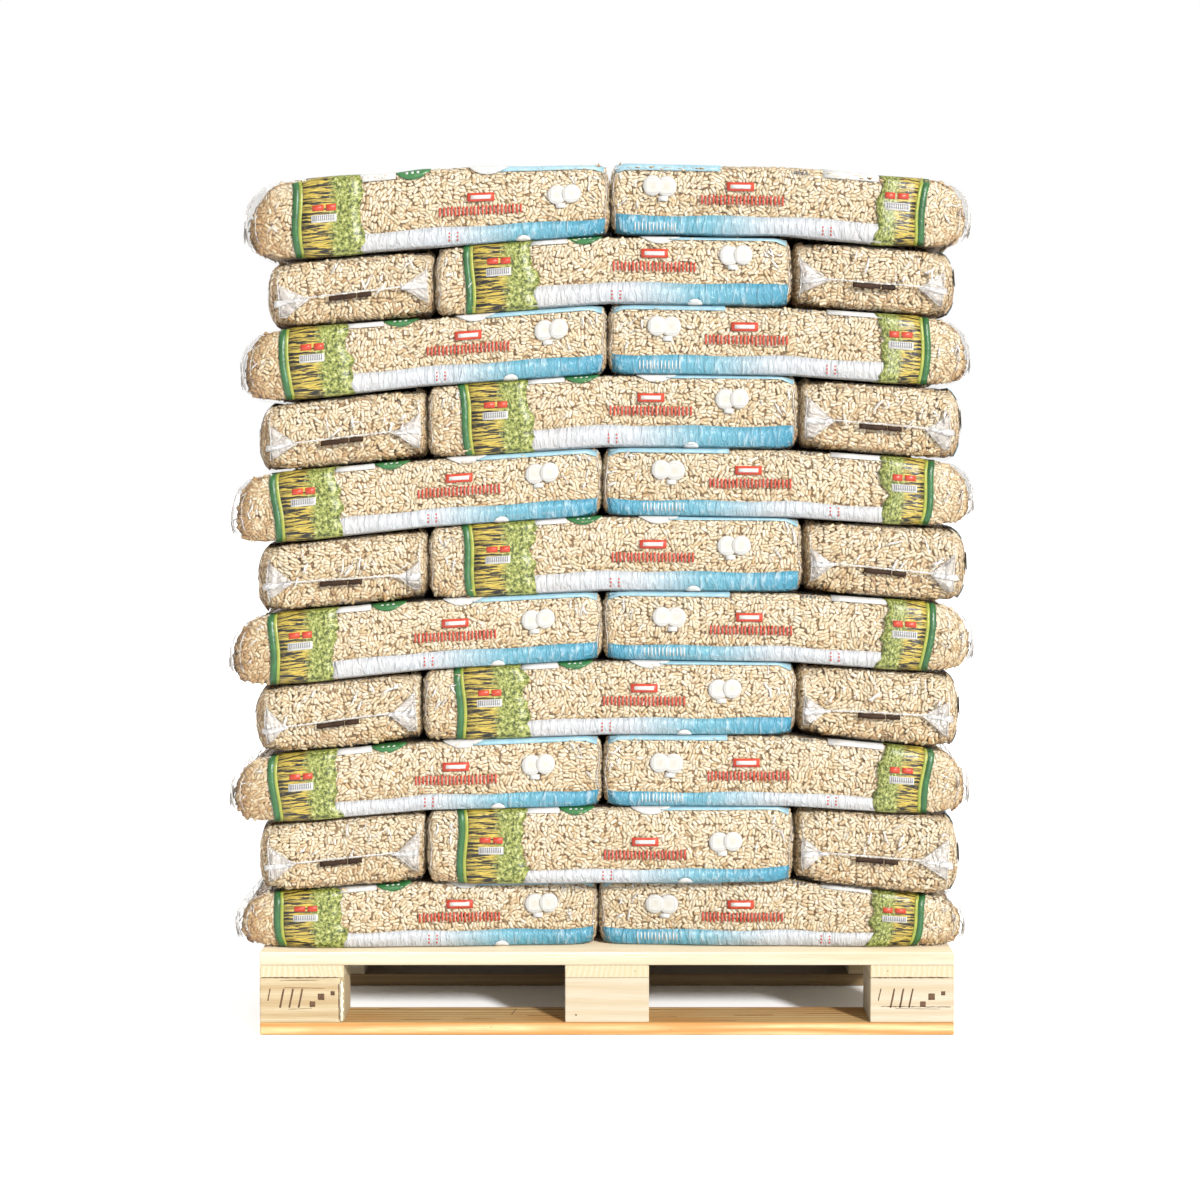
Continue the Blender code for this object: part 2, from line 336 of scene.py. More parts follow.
def block_points(sack, axis, side, first, up):
    """Block points on the side or end that faces that way along an axis, from places along the
    other axis and up. Up is measured round the lower and upper edges as well."""
    edge, inward = ((sack.low, 1), (sack.high, -1))[side]
    over = np.maximum(up - sack.height, 0) + np.maximum(-up, 0)
    block = np.empty((first.size, 3))
    block[:, 1 - axis] = first.ravel()
    block[:, axis] = edge[axis] + inward * over.ravel()
    block[:, 2] = np.clip(up / sack.height, 0, 1).ravel()
    return block


def on_side(sack, side, along, up):
    """Block points on a long side."""
    return block_points(sack, sack.across, side, along, up)


def on_end(sack, end, across, up):
    """Block points on an end."""
    return block_points(sack, sack.along, end, across, up)


def from_picture(sack, distance):
    """The place along the sack of what is printed that far from the end with the picture."""
    if sack.picture_end:
        return sack.high[sack.along] - sack.shift - distance
    return sack.low[sack.along] + sack.shift + distance


def placed(name, data, place=(0, 0, 0), towards=None):
    """A new object of the scene. With a direction, its -Z axis is turned that way."""
    made = bpy.data.objects.new(name, data)
    bpy.context.scene.collection.objects.link(made)
    made.location = place
    if towards:
        made.rotation_euler = Vector(towards).to_track_quat("-Z", "Y").to_euler()
    return made


class Gathered:
    """Points, quads and what belongs to them, gathered into one mesh."""

    def __init__(self):
        self.points, self.corners, self.widths, self.slots = [], [], [], []
        self.maps, self.shades, self.smooth, self.normals = [], [], [], []
        self.count = 0

    def add(self, points, faces, slot=0, corner_map=None, shade=None, smooth_faces=None,
            normals=None):
        """Adds points and their faces: one array, or several whose faces differ in corners, each
        with its own map then. Only the first smooth_faces of them are shaded smooth, if that is
        given, and points with no normals of their own keep the ones that their faces give them."""
        several = isinstance(faces, list)
        for k, group in enumerate(faces if several else [faces]):
            self.smooth.append(np.arange(len(group)) < (smooth_faces or len(group)))
            self.corners.append(group.ravel() + self.count)
            self.widths.append(np.full(len(group), group.shape[1]))
            self.slots.append(np.full(len(group), slot))
            if corner_map is None:
                self.maps.append(np.zeros((group.size, 2)))
            else:
                self.maps.append(corner_map[k] if several else corner_map)
        self.points.append(points)
        self.count += len(points)
        self.shades.append(np.zeros(len(points)) if shade is None else shade)
        self.normals.append(np.zeros((len(points), 3)) if normals is None else normals)

    def piece(self, name, materials, mapped=False, shaded=False):
        """The gathered mesh as an object at the origin."""
        points, corners = np.concatenate(self.points), np.concatenate(self.corners)
        widths = np.concatenate(self.widths)
        mesh = bpy.data.meshes.new(name)
        mesh.vertices.add(len(points))
        mesh.vertices.foreach_set("co", points.astype(np.float32).ravel())
        mesh.loops.add(len(corners))
        mesh.loops.foreach_set("vertex_index", corners.astype(np.int32))
        mesh.polygons.add(len(widths))
        starts = (np.cumsum(widths) - widths).astype(np.int32)
        mesh.polygons.foreach_set("loop_start", starts)
        mesh.polygons.foreach_set("material_index", np.concatenate(self.slots).astype(np.int32))
        mesh.update(calc_edges=True)
        mesh.polygons.foreach_set("use_smooth", np.concatenate(self.smooth))
        if mapped:
            layer = mesh.uv_layers.new(name="print")
            layer.uv.foreach_set("vector", np.concatenate(self.maps).astype(np.float32).ravel())
        if shaded:
            layer = mesh.attributes.new("shade", "FLOAT", "POINT")
            layer.data.foreach_set("value", np.concatenate(self.shades).astype(np.float32))
            mesh.normals_split_custom_set_from_vertices(np.concatenate(self.normals).tolist())
        for material in materials:
            mesh.materials.append(material)
        made = placed(name, mesh)
        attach(made, "root")
        return made


def box_lattice(counts):
    """The outside of a box of cells: whole-number corners, and quads that turn outwards."""
    sides = []
    for axis in range(3):
        second, third = (axis + 1) % 3, (axis + 2) % 3
        for side in (0, 1):
            i, j = np.meshgrid(np.arange(counts[second]), np.arange(counts[third]), indexing="ij")
            quad = np.zeros((i.size, 4, 3), int)
            quad[..., axis] = side * counts[axis]
            for corner, (di, dj) in enumerate(((0, 0), (1, 0), (1, 1), (0, 1))):
                quad[:, corner, second] = i.ravel() + di
                quad[:, corner, third] = j.ravel() + dj
            sides.append(quad if side else quad[:, ::-1])
    quads = np.concatenate(sides)
    corners, index = np.unique(quads.reshape(-1, 3), axis=0, return_inverse=True)
    return corners, index.reshape(-1, 4)


def sack_shell(sack, cells, lift, filling=False):
    """A closed sack surface: cells is (length, width, height, rounding) cell counts."""
    length, width, heights, rounding = cells

    def lines(axis, count):
        """Lines across one axis: equal angles round the edges and equal steps between."""
        low, high = sack.low[axis], sack.high[axis]
        turn = np.tan(np.linspace(0, math.pi / 4, rounding + 1))
        first, last = low + sack.radii[0, axis], high - sack.radii[1, axis]
        places = np.concatenate([first - sack.radii[0, axis] * turn[::-1],
                                 np.linspace(first, last, count + 1),
                                 last + sack.radii[1, axis] * turn])
        if axis == 0:
            bends = [x for x in (-SEAM_BEND_X, 0.0, SEAM_BEND_X) if first < x < last]
            places = np.concatenate([places, bends])
        return np.unique(np.round(places, 6))

    line = [None, None, np.array(heights)]
    line[sack.along] = lines(sack.along, length)
    line[sack.across] = lines(sack.across, width)
    corners, quads = box_lattice([len(values) - 1 for values in line])
    block = np.stack([line[axis][corners[:, axis]] for axis in range(3)], axis=1)
    points, _ = shaped(sack, block, lift, filling)
    return points, quads


def shows(sack, points):
    """True for points near enough to the outside of the load to be seen."""
    room = np.minimum.reduce([
        points[:, 0] - sack.row[0], sack.row[1] - points[:, 0],
        LOAD_DEPTH / 2 - np.abs(points[:, 1] - LOAD_CENTRE_Y),
    ])
    return room < (BOTTOM_REACH if sack.level == 1 else NOTCH_REACH)


def under_print(sack, distance, up):
    """True where the opaque print of a long side hides what is under it."""
    panel_end = sack.places[0]
    picture = (distance > CLEAR_END + 0.016) & (distance < panel_end - 0.018)
    band = (distance > panel_end) & (up < sack.band_top - 0.008)
    clear = 0.060 if sack.faces_out(sack.along, 1 - sack.picture_end) else 0.022
    band &= distance + sack.shift < sack.length - clear
    return picture | band


def pellet_places(sack, rng):
    """Where a sack's visible pellets lie: centres, normals and a direction along each.

    They start from a jittered grid on each face that shows. Each cell holds two pellets side by
    side that turn with slow noise plus a turn of the pair's own, and then each a little more.
    Their size and painted shade come with them: painted light makes them paler towards a sack's top, and
    painted shade makes them darker on the long ends and on the end-on sacks' sides that face -X, away from
    the key light. The ends of the sacks that lie end-on are a little darker.
    """
    centres, normals, sizes, painted_shades = [], [], [], []
    below, above = -UNDER_REACH, sack.height + (0.0 if sack.level == TOP else RIM_REACH)
    along_span = (sack.low[sack.along], sack.high[sack.along])
    across_span = (sack.low[sack.across], sack.high[sack.across])

    def jittered(first, second, cell):
        places = []
        for low, high in (first, second):
            count = max(int(round((high - low) / cell)), 1)
            places.append(low + (np.arange(count) + 0.5) * (high - low) / count)
        u, v = np.meshgrid(*places, indexing="ij")
        move = rng.uniform(-0.24, 0.24, (2, *u.shape)) * cell
        return u + move[0], v + move[1]

    def cell_of(axis, side):
        return FRONT_CELL if axis == 1 and side == 0 else OTHER_CELL

    def keep(block, cell, hidden=None, tone=0.0):
        points, normal = shaped(sack, block, -PELLET_TOP - PELLET_RADIUS, filling=True)
        seen = shows(sack, points)
        if sack.level == TOP:
            seen |= block[:, 2] > 0.999
        if hidden is not None:
            seen &= ~hidden.ravel()
        centres.append(points[seen])
        normals.append(normal[seen])
        sizes.append(np.full(seen.sum(), 1.0 if cell == FRONT_CELL else OTHER_SIZE))
        # painted light and shade: paler towards the sack's top, darker towards its bottom
        painted_shades.append(np.broadcast_to(tone, seen.shape)[seen] + 0.34 * (block[seen, 2] - 0.55))

    for side in (0, 1):
        cell = cell_of(sack.across, side)
        along, up = jittered(along_span, (below, above), cell)
        hidden = under_print(sack, np.abs(along - from_picture(sack, 0.0)), up)
        # painted shade on the side of an end-on sack that faces -X, away from the key light
        tone = -0.30 if sack.along == 1 and side == 0 else 0.0
        # painted shade on the side near a long end of the load, darker near the left end
        for end in (0, 1):
            if sack.domes[end]:
                from_tip = np.abs(along.ravel() - along_span[end])
                darker = 0.14 * (from_tip < CLEAR_END) + 0.26 * (1 - smooth(0.0, 0.045, from_tip))
                tone = tone - DOME_SIDE_SHADES[end] * darker
        keep(on_side(sack, side, along, up), cell, hidden & sack.faces_out(sack.across, side), tone)
        cell = cell_of(sack.along, side)
        reach = DOME_REACH - RIM_REACH if sack.domes[side] and sack.level < TOP else 0.0
        across, up = jittered(across_span, (below, above + reach), cell)
        # painted shade on an end: darker on a long end of the load, most at the left, and on the strip of
        # an end-on sack's end beside its side that faces -X
        tone = DOME_PAINTED_SHADES[side] if sack.domes[side] else END_TONE
        if sack.bulged[0]:
            tone = tone - 0.30 * (1 - smooth(0.012, 0.028, across.ravel() - sack.low[0]))
        keep(on_end(sack, side, across, up), cell, tone=tone)
    if sack.level == TOP:
        along, across = jittered(along_span, across_span, OTHER_CELL)
        block = np.empty((along.size, 3))
        block[:, sack.along], block[:, sack.across], block[:, 2] = along.ravel(), across.ravel(), 1.0
        hidden = under_print(sack, np.abs(along - from_picture(sack, 0.0)), sack.band_top)
        keep(block, OTHER_CELL, hidden)
    centres, normals = np.concatenate(centres), np.concatenate(normals)
    reference = np.zeros(3)
    reference[sack.along] = 1.0
    first = np.cross(normals, reference)
    short = np.linalg.norm(first, axis=1) < 0.3
    first[short] = np.cross(normals[short], [0.0, 0.0, 1.0])
    first /= np.linalg.norm(first, axis=1, keepdims=True)
    second = np.cross(normals, first)
    turn = 4.5 * noise(centres + sack.seed, 0.055, 5) + rng.normal(0, 0.50, len(centres))
    direction = first * np.cos(turn)[:, None] + second * np.sin(turn)[:, None]
    sideways = np.cross(normals, direction)
    sizes, painted_shades = np.concatenate(sizes), np.concatenate(painted_shades)
    pairs = []
    for sign in (-1, 1):
        def own(spread):
            return rng.normal(0, spread, (len(centres), 1))
        pairs.append((centres + sideways * (sign * PELLET_RADIUS * sizes)[:, None]
                      + direction * own(0.0011)
                      - normals * rng.uniform(0, PELLET_DEPTH_SPREAD, (len(centres), 1)),
                      direction + sideways * own(0.16) + normals * own(0.05)))
    places, directions = (np.concatenate(parts) for parts in zip(*pairs))
    return places, np.tile(normals, (2, 1)), directions, np.tile(sizes, 2), np.tile(painted_shades, 2)


def pellet_rods(centres, normals, direction, sizes, painted_shades, rng):
    """Pellets as closed shapes of six triangles: a top as long and wide as the pellet, whose four
    corners are joined to a point deep under it.

    The top is shaded as a rod's: a corner's normal leans sideways by 0.64, along by 0.30 and up
    by 0.70, each with that corner's sign, and the point's normal is down. The top's map runs from
    0 to 1 along and across, and the sides all have the map of its rim.
    """
    direction = direction / np.linalg.norm(direction, axis=1, keepdims=True)
    sideways = np.cross(normals, direction)
    sideways /= np.linalg.norm(sideways, axis=1, keepdims=True)
    up = np.cross(direction, sideways)
    count = len(centres)
    half = rng.triangular(0.0036, 0.0052, 0.0078, count) * sizes
    radius = PELLET_RADIUS * rng.uniform(0.92, 1.08, count) * sizes
    corners, leans = np.empty((count, 5, 3)), np.empty((count, 5, 3))
    for k, (along, across) in enumerate(((-1, -1), (1, -1), (1, 1), (-1, 1))):
        corners[:, k] = (centres + along * direction * half[:, None]
                         + sideways * (across * radius)[:, None] + up * (0.5 * radius)[:, None])
        leans[:, k] = 0.30 * along * direction + 0.64 * across * sideways + 0.70 * up
    corners[:, 4] = centres - up * (2.6 * radius)[:, None]
    leans[:, 4] = -up
    first = np.arange(count)[:, None, None] * 5
    tops = (first + np.array([(0, 1, 2, 3)])).reshape(-1, 4)
    sides = (first + np.array([(1, 0, 4), (2, 1, 4), (3, 2, 4), (0, 3, 4)])).reshape(-1, 3)
    # each pellet's random tone plus its painted shade
    shade = rng.beta(4.2, 3.2, count) + painted_shades
    maps = [np.tile([(0, 0), (1, 0), (1, 1), (0, 1)], (count, 1)), np.zeros((sides.size, 2))]
    return corners.reshape(-1, 3), [tops, sides], maps, np.repeat(shade, 5), leans.reshape(-1, 3)


def closed_sheet(outer, inner):
    """Two grids of points, rows x columns x 3, closed into one thin sheet."""
    rows, columns = outer.shape[:2]
    index = np.arange(rows * columns).reshape(rows, columns)
    face = np.stack([index[:-1, :-1], index[1:, :-1], index[1:, 1:], index[:-1, 1:]], -1).reshape(-1, 4)
    under = face[:, ::-1] + rows * columns
    rim = np.concatenate([index[:, 0], index[-1, 1:], index[-2::-1, -1], index[0, -2:0:-1]])
    after = np.roll(rim, -1)
    edge = np.stack([after, rim, rim + rows * columns, after + rows * columns], -1)
    points = np.concatenate([outer.reshape(-1, 3), inner.reshape(-1, 3)])
    return points, np.concatenate([face, under, edge])


def lay(gathered, outer, inner, normal, uv=None):
    """Gathers a thin closed sheet between two grids, with its outer side along the normal."""
    rows, columns = outer.shape[:2]
    turn = np.cross(outer[1:, :-1] - outer[:-1, :-1], outer[:-1, 1:] - outer[:-1, :-1])
    if uv is None:
        uv = np.stack(rectangle((0, 1), (0, 1), (rows - 1, columns - 1)), -1)
    if (turn * normal[:-1, :-1]).sum() < 0:
        outer, inner, uv = outer[::-1], inner[::-1], uv[::-1]
    points, quads = closed_sheet(outer, inner)
    both = np.concatenate([uv.reshape(-1, 2)] * 2)
    gathered.add(points, quads, 0, both[quads.ravel()], smooth_faces=(rows - 1) * (columns - 1))


def print_patch(gathered, sack, surface, side, s, up, lift=0.0009, uv=None):
    """A thin closed patch of print on a side or end, from grids of places along and up."""
    block = surface(sack, side, s, up)
    outer, normal = shaped(sack, block, lift)
    inner, _ = shaped(sack, block, lift - PRINT_THICKNESS)
    lay(gathered, *(grid.reshape(*s.shape, 3) for grid in (outer, inner, normal)), uv)


def glints(gathered, sack, surface, side, rng, places, ups, turns, lengths, widths, foot=0.0):
    """Glare on creases in the film: narrow strips that taper to both ends and bow a little. Their
    heights, as shares of the sack's, lengths and widths lie in the given ranges, and their turns
    are drawn from a bell curve with the given middle and spread.

    At t from -0.5 to 0.5 along a strip its half width is width / 2 * sqrt(1 - 3.6 * t * t).
    """
    count = len(places)
    drawn = (foot + sack.height * rng.uniform(*ups, count), rng.normal(*turns, count),
             rng.uniform(*lengths, count), rng.uniform(*widths, count))
    t = np.linspace(-0.5, 0.5, 5)
    for place, up, turn, length, width in zip(places, *drawn):
        bow = rng.uniform(-0.10, 0.10) * length * (1 - 4 * t * t)
        aside = bow + np.array([[-0.5], [0.5]]) * width * np.sqrt(1 - 3.6 * t * t)
        print_patch(gathered, sack, surface, side,
                    place + length * t * math.cos(turn) - aside * math.sin(turn),
                    up + length * t * math.sin(turn) + aside * math.cos(turn), 0.0011)


def rectangle(s_range, up_range, cells):
    """A grid of places from one corner of a rectangle to the other."""
    return np.meshgrid(np.linspace(*s_range, cells[0] + 1), np.linspace(*up_range, cells[1] + 1),
                       indexing="ij")


def disc(centre, radii, cells):
    """A square grid pressed into an ellipse: x * sqrt(1 - y * y / 2), and the same for y."""
    x, y = rectangle((-1, 1), (-1, 1), (cells, cells))
    return (centre[0] + radii[0] * x * np.sqrt(1 - y * y / 2),
            centre[1] + radii[1] * y * np.sqrt(1 - x * x / 2))


class Paint:
    """A material and its nodes. Each method adds a node and returns its output socket. A tone is
    a screen colour in bright light, three shares of linear light or one share of grey."""

    def __init__(self, name, **sockets):
        self.material = bpy.data.materials.new(name)
        self.material.use_nodes = True
        self.tree = self.material.node_tree
        self.shader = self.tree.nodes["Principled BSDF"]
        for socket, value in sockets.items():
            self.shader.inputs[socket.replace("_", " ")].default_value = value

    def node(self, kind, settings, inputs, output=0):
        made = self.tree.nodes.new("ShaderNode" + kind)
        for setting, value in settings.items():
            setattr(made, setting, value)
        for socket, value in inputs.items():
            if isinstance(value, bpy.types.NodeSocket):
                self.tree.links.new(value, made.inputs[socket])
            else:
                made.inputs[socket].default_value = value
        return made.outputs[output]

    def coordinates(self, scale=(1, 1, 1), location=(0, 0, 0), rotation=(0, 0, 0), source=None):
        """The place on the part or, with a source, in that map."""
        if source:
            start = self.node("UVMap", {"uv_map": source}, {})
        else:
            start = self.node("TexCoord", {}, {}, "Object")
        return self.node("Mapping", {}, {"Vector": start, "Scale": scale, "Location": location,
                                         "Rotation": rotation})

    def noise(self, vector, scale, detail=3.0, roughness=0.5, distortion=0.0, output="Fac"):
        return self.node("TexNoise", {}, {"Vector": vector, "Scale": scale, "Detail": detail,
                                          "Roughness": roughness, "Distortion": distortion}, output)

    def axis(self, vector, number):
        return self.node("SeparateXYZ", {}, {0: vector}, number)

    def moved(self, place, by, reach):
        """A place moved by a noise's colour times reach."""
        return self.node("VectorMath", {"operation": "MULTIPLY_ADD"},
                         {0: by, 1: (reach,) * 3, 2: place})

    def ramp(self, value, *stops):
        made = self.tree.nodes.new("ShaderNodeValToRGB")
        elements = made.color_ramp.elements
        while len(elements) < len(stops):
            elements.new(0.5)
        for element, (place, tone) in zip(elements, stops):
            element.position, element.color = place, light(tone)
        self.tree.links.new(value, made.inputs[0])
        return made.outputs[0]

    def math(self, operation, first, second=0.0):
        return self.node("Math", {"operation": operation}, {0: first, 1: second})

    def mix(self, share, first, second, mode="MIX"):
        first, second = (side if isinstance(side, bpy.types.NodeSocket) else light(side)
                         for side in (first, second))
        return self.node("Mix", {"data_type": "RGBA", "blend_type": mode},
                         {0: share, 6: first, 7: second}, 2)

    def bump(self, height, strength, distance, **below):
        inputs = {"Height": height, "Strength": strength, "Distance": distance, **below}
        return self.node("Bump", {}, inputs)

    def finish(self, **links):
        for socket, output in links.items():
            self.tree.links.new(output, self.shader.inputs[socket.replace("_", " ")])
        return self.material

    def creased(self, tone):
        """Ends a print with its tone and the fine creases of the film."""
        creases = self.noise(self.coordinates(), 110.0, 5.0, 0.6, 0.8)
        return self.finish(Base_Color=tone, Normal=self.bump(creases, 0.35, 0.004))


def light(tone):
    """A tone as linear light with full cover. A screen colour has that value in bright light."""
    if isinstance(tone, str):
        channels = np.array([int(tone[i:i + 2], 16) for i in (0, 2, 4)]) / 255
        linear = np.where(channels <= 0.04045, channels / 12.92, ((channels + 0.055) / 1.055) ** 2.4)
        tone = tuple(float(x) for x in IN_BRIGHT_LIGHT * linear)
    return (*tone, 1.0) if isinstance(tone, tuple) else (tone, tone, tone, 1.0)


def pellet_material():
    """A pellet's tone from its shade attribute, with painted shade towards the rim of its top where it
    meets its neighbours: there x ** 6 + y ** 3.6 nears 1, x and y being the shares of the way from the
    top's middle along and across."""
    paint = Paint("wood_pellet", Roughness=0.55)
    shade = paint.node("Attribute", {"attribute_name": "shade"}, {}, "Fac")
    place = paint.coordinates()
    blotch = paint.noise(place, 260.0, 4.0, 0.6)
    value = paint.math("ADD", shade, paint.math("MULTIPLY", paint.math("SUBTRACT", blotch, 0.5), 0.45))
    tone = paint.ramp(value, (0.0, "ba9056"), (0.25, "d6b886"), (0.5, "e6d2ac"), (0.78, "efe1c4"),
                      (1.0, "f6edd8"))
    top = paint.coordinates((2, 2, 1), (-1, -1, 0), source="print")
    sides = [paint.math("POWER", paint.math("ABSOLUTE", paint.axis(top, number)), power)
             for number, power in ((0, 6.0), (1, 3.6))]
    # painted shade round the rim of each pellet's top
    rim = paint.ramp(paint.math("ADD", *sides), (0.15, 1.0), (0.60, (0.86, 0.76, 0.60)),
                     (1.0, (0.54, 0.40, 0.25)))
    grain = paint.noise(place, 900.0, 3.0)
    return paint.finish(Base_Color=paint.mix(1.0, tone, rim, "MULTIPLY"),
                        Normal=paint.bump(grain, 0.5, 0.0006))


def bed_material():
    """The pellets that lie deeper: short bars at two angles, darker than the pellets on top and darkest
    between them, as painted shade.
    """
    paint = Paint("deep_pellets", Roughness=0.7)
    place = paint.coordinates()
    bent = paint.moved(place, paint.noise(place, 18.0, 2.0, output="Color"), 0.05)
    cells = paint.node("TexVoronoi", {}, {"Vector": bent, "Scale": 170.0}, "Distance")
    # painted shade: darkest between the cells
    tone = paint.ramp(cells, (0.0, "cba870"), (0.45, "a47c46"), (0.85, "6c4820"))
    return paint.finish(Base_Color=tone, Normal=paint.bump(cells, 0.9, 0.006))


def film_material(name, alpha, tint, roughness):
    """Clear film with a crisp gloss: slow folds with fine creases on them."""
    paint = Paint(name, Alpha=alpha, Base_Color=light(tint), Roughness=roughness, IOR=1.8,
                  Specular_IOR_Level=1.0)
    place = paint.coordinates()
    folds = paint.bump(paint.noise(place, 16.0, 3.0, 0.5, 1.5), 0.8, 0.030)
    creases = paint.noise(place, 55.0, 4.0, 0.6, 1.2)
    folded = paint.math("ABSOLUTE", paint.math("SUBTRACT", creases, 0.5))
    return paint.finish(Normal=paint.bump(folded, 0.6, 0.012, Normal=folds))


def plain_print(name, tone, dark, roughness=0.35, specular=0.5):
    """Printed film in one ink, a little uneven and creased."""
    paint = Paint(name, Roughness=roughness, Specular_IOR_Level=specular)
    uneven = paint.noise(paint.coordinates(), 60.0, 4.0, 0.6)
    return paint.creased(paint.mix(paint.ramp(uneven, (0.35, 0.0), (0.75, 1.0)), tone, dark))


def band_material():
    """The printed lower edge: grey-white near the picture, then sky blue, finely gathered."""
    paint = Paint("edge_band", Roughness=0.32)
    along = paint.axis(paint.coordinates(source="print"), 0)
    tone = paint.ramp(along, (0.0, "d8d5d3"), (0.40, "cdd2d6"), (0.65, "6fb0c2"), (1.0, "489bb7"))
    gathers = paint.noise(paint.coordinates((1, 1, 0.24), rotation=(0, 0.35, 0)), 130.0, 4.0, 0.55, 0.6)
    tone = paint.mix(paint.ramp(gathers, (0.52, 0.0), (0.72, 0.55)), tone, "e6f0f4")
    return paint.finish(Base_Color=tone, Normal=paint.bump(gathers, 0.8, 0.012))


def seal_material():
    """A white seal with a thin grey ring and a pale middle. A disc's map is a square pressed
    round, so the larger of the two distances from its middle tells the rings apart."""
    paint = Paint("pale_seal", Roughness=0.4)
    place = paint.coordinates((2, 2, 1), (-1, -1, 0), source="print")
    ring = paint.math("MAXIMUM", *(paint.math("ABSOLUTE", paint.axis(place, axis)) for axis in (0, 1)))
    return paint.creased(paint.ramp(ring, (0.0, "d2ccbe"), (0.30, "d3cec2"), (0.38, "d6d3cb"),
                                    (0.62, "d6d3cb"), (0.68, "b8b5b2"), (0.74, "d8d5ce")))


def picture_material():
    """Blades of straw yellow over dark olive near the stripe, then light green leaves."""
    paint = Paint("leaf_print", Roughness=0.38)
    from_stripe = paint.axis(paint.coordinates(source="print"), 0)
    blades = paint.noise(paint.coordinates((1.7, 36.0, 1), rotation=(0, 0, 0.02), source="print"),
                         1.0, 4.0, 0.65, 0.3)
    straw = paint.ramp(blades, (0.45, "0e0c05"), (0.488, "2e2812"), (0.514, "b89c38"),
                       (0.56, "e0c654"), (0.62, "948438"), (0.70, "3a3416"))
    dapple = paint.noise(paint.coordinates((16, 23, 1), source="print"), 1.0, 9.0, 0.82)
    leaves = paint.ramp(dapple, (0.41, "1c2408"), (0.465, "59671f"), (0.505, "8e9640"),
                        (0.55, "b4b860"), (0.62, "dedea8"))
    ragged = paint.math("MULTIPLY", paint.math("SUBTRACT", dapple, 0.5), 0.5)
    edge = paint.ramp(paint.math("ADD", from_stripe, ragged), (0.44, 0.0), (0.56, 1.0))
    return paint.creased(paint.mix(edge, straw, leaves))


def wood_material(name, grain_axis, pale, dark, ring, painted_top_light=1.0, patch=(0.5, 0.8, 0.6)):
    """Sawn softwood: growth rings about a line beside the board, fibres along the grain.

    Its upward faces are made paler by painted_top_light, as painted light from above, and patch says from
    what noise value to what the broad patches set in, and how strong they are.
    """
    paint = Paint(name, Roughness=0.68)

    def along_grain(share, *location):
        return paint.coordinates(tuple(share if i == grain_axis else 1.0 for i in range(3)), *location)

    place = along_grain(0.06, (0.13, 0.21, -0.16))
    bent = paint.moved(place, paint.noise(place, 9.0, 3.0, 0.55, output="Color"), 0.03)
    rings = paint.node("TexWave", {"wave_type": "RINGS", "rings_direction": "XYZ"[grain_axis]},
                       {"Vector": bent, "Scale": 34.0, "Distortion": 1.4, "Detail": 2.0}, "Fac")
    fibres = paint.noise(along_grain(0.03), 420.0, 4.0, 0.6)
    patches = paint.noise(along_grain(0.3), 9.0, 3.0)
    tone = paint.mix(rings, pale, ring)
    tone = paint.mix(paint.ramp(fibres, (0.42, 0.0), (0.72, 0.5)), tone, dark)
    tone = paint.mix(paint.ramp(patches, (patch[0], 0.0), patch[1:]), tone, ring)
    # painted light: faces that look up are paler
    if painted_top_light != 1.0:
        normal = paint.node("NewGeometry", {}, {}, "Normal")
        upward = paint.math("GREATER_THAN", paint.axis(normal, 2), 0.7)
        tone = paint.mix(upward, tone, paint.mix(1.0, tone, painted_top_light, "MULTIPLY"))
    rough = paint.math("ADD", paint.math("MULTIPLY", fibres, 0.7), paint.math("MULTIPLY", rings, 0.3))
    return paint.finish(Base_Color=tone, Normal=paint.bump(rough, 0.5, 0.0014))


def dress_pallet():
    """Gives the CAD's boards and blocks their wood: the first whose start fits a node's name."""
    board = wood_material("pale_board", 0, "e8dac0", "ccb288", "dcc8a4", painted_top_light=1.9)
    block = wood_material("pale_block", 0, "dacdb4", "c0a67e", "cfbd9c")
    # darker wood: painted shade on the middle and rear blocks under the pallet, and wear on the front left
    # block
    wear_and_shade = wood_material("worn_and_shaded_block", 0, "d2bf98", "a98858", "bfa578")
    cross = wood_material("pale_cross_board", 1, "e2d4b6", "c0a26e", "dac8a0")
    orange = wood_material("orange_board", 0, "f4dca0", "b47a36", "d4964a", patch=(0.48, 0.66, 0.8))
    # darker wood on the bottom boards behind the front one: painted shade under the pallet
    shade_board = wood_material("painted_shade_board", 0, "b79a68", "7d5f38", "9c7e50")
    woods = {"deck_board": board, "block_front_left": wear_and_shade, "block_rear_middle": wear_and_shade,
             "block_middle_right": wear_and_shade, "block": block, "cross_board": cross,
             "bottom_board_front": orange, "bottom_board": shade_board}
    for name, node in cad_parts.items():
        wood = next((woods[start] for start in woods if name.startswith(start)), None)
        for slot in node.material_slots if wood else ():
            slot.material = wood


